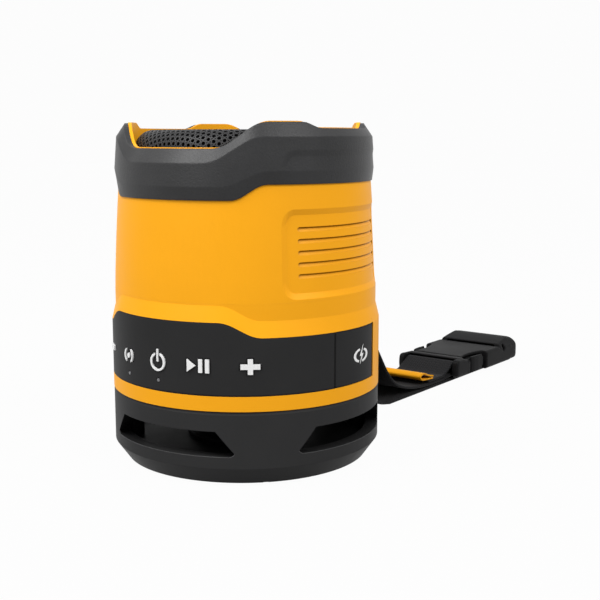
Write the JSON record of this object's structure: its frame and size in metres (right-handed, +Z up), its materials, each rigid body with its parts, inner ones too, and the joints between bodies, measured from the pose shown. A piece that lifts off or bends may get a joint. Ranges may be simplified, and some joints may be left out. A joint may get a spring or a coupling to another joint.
{
  "type": "bluetooth speaker",
  "caption": "Compact rugged wireless speaker with a rubber bumper crown, ribbed grips, a key belt, a windowed base and a webbing strap with a side-release buckle.",
  "frame": {"origin": "centre of the resting face, on the axis of the round housing", "axes": "+Z up along the housing's axis, -Y to the front with the keys, +Y back along the strap, +X to the charging socket"},
  "size_m": [0.095, 0.2464, 0.1171],
  "materials": {
    "yellow_plastic": "fine moulded texture, amber yellow",
    "black_rubber": "soft matt moulding",
    "black_plastic": "fine moulded texture",
    "buckle_plastic": "smooth satin moulding",
    "grille_metal": "powder coat over perforated sheet",
    "white_plastic": "smooth white moulding",
    "clear_plastic": "clear moulding",
    "circuit_board": "solder mask",
    "steel": "plated",
    "cell_sleeve": "shrink sleeve over a cell",
    "ferrite": "pressed ferrite",
    "copper": "enamelled wire",
    "cone_cloth": "pressed paper and cloth",
    "webbing": "woven nylon webbing",
    "yellow_tab": "soft folded tab"
  },
  "bodies": {
    "speaker": {"foot_ring": "black_rubber", "base_cage": "black_plastic", "sound_diffuser": "black_plastic", "base_screws": "steel", "lower_housing": "yellow_plastic", "upper_housing": "yellow_plastic", "bumper": "black_rubber", "crown_ring": "yellow_plastic", "grille": "grille_metal", "control_panel": "black_rubber", "light_pipes": "clear_plastic", "key_board": "circuit_board", "tact_switches": "black_plastic", "usb_socket": "steel", "usb_tongue": "black_plastic", "usb_board": "circuit_board", "battery_tray": "black_plastic", "battery_cells": "cell_sleeve", "main_board": "circuit_board", "board_parts": "black_plastic", "driver_gasket": "black_rubber", "driver_basket": "grille_metal", "driver_top_plate": "steel", "driver_magnet": "ferrite", "driver_yoke": "steel", "spider": "cone_cloth", "driver_surround": "black_rubber", "driver_screws": "steel", "radiator_frame": "black_plastic", "radiator_surround": "black_rubber", "radiator_screws": "steel", "strap_bracket": "black_plastic", "bracket_screws": "steel", "lower_strap": "webbing", "upper_strap": "webbing", "buckle_socket": "buckle_plastic"},
    "driver_cone": {"driver_cone": "cone_cloth", "voice_coil": "copper", "dust_cap": "cone_cloth"},
    "radiator_plate": {"radiator_plate": "steel"},
    "key_minus": {"key_minus": "white_plastic"},
    "key_pair": {"key_pair": "white_plastic"},
    "key_power": {"key_power": "white_plastic"},
    "key_play": {"key_play": "white_plastic"},
    "key_plus": {"key_plus": "white_plastic"},
    "usb_cover": {"usb_cover": "black_rubber"},
    "buckle_plug": {"buckle_plug": "buckle_plastic", "strap_tail": "webbing", "strap_tab": "yellow_tab"},
    "buckle_arm_left": {"buckle_arm_left": "buckle_plastic"},
    "buckle_arm_right": {"buckle_arm_right": "buckle_plastic"}
  },
  "joints": [
    {"name": "cone_slide", "type": "slide", "parent": "speaker", "child": "driver_cone", "axis": [0, 0, 1], "range_m": [-0.0015, 0.0015], "stiffness_N_per_m": 1500, "deforming": ["driver_surround", "spider"]},
    {"name": "radiator_slide", "type": "slide", "parent": "speaker", "child": "radiator_plate", "axis": [0, 0, 1], "range_m": [-0.002, 0.002], "stiffness_N_per_m": 900, "deforming": ["radiator_surround"]},
    {"name": "key_minus_press", "type": "slide", "parent": "speaker", "child": "key_minus", "axis": [0.6225, 0.7826, 0], "range_m": [0, 0.0005], "stiffness_N_per_m": 2400},
    {"name": "key_pair_press", "type": "slide", "parent": "speaker", "child": "key_pair", "axis": [0.3123, 0.95, 0], "range_m": [0, 0.0005], "stiffness_N_per_m": 2400},
    {"name": "key_power_press", "type": "slide", "parent": "speaker", "child": "key_power", "axis": [0, 1, 0], "range_m": [0, 0.0005], "stiffness_N_per_m": 2400},
    {"name": "key_play_press", "type": "slide", "parent": "speaker", "child": "key_play", "axis": [-0.3123, 0.95, 0], "range_m": [0, 0.0005], "stiffness_N_per_m": 2400},
    {"name": "key_plus_press", "type": "slide", "parent": "speaker", "child": "key_plus", "axis": [-0.6225, 0.7826, 0], "range_m": [0, 0.0005], "stiffness_N_per_m": 2400},
    {"name": "cover_hinge", "type": "hinge", "parent": "speaker", "child": "usb_cover", "pos_m": [0.04555, 0.0096, 0.03988], "axis": [0, 0, 1], "range_deg": [0, 95]},
    {"name": "plug_slide", "type": "slide", "parent": "speaker", "child": "buckle_plug", "axis": [-0.0436, -0.999, 0], "range_m": [0, 0.03], "deforming": ["upper_strap", "buckle_arm_left", "buckle_arm_right"]},
    {"name": "arm_left_squeeze", "type": "hinge", "parent": "buckle_plug", "child": "buckle_arm_left", "pos_m": [-0.00491, 0.14591, 0.0058], "axis": [0, 0, -1], "range_deg": [0, 10], "stiffness_Nm_per_rad": 0.6},
    {"name": "arm_right_squeeze", "type": "hinge", "parent": "buckle_plug", "child": "buckle_arm_right", "pos_m": [0.01347, 0.14511, 0.0058], "axis": [0, 0, 1], "range_deg": [0, 10], "stiffness_Nm_per_rad": 0.6}
  ]
}
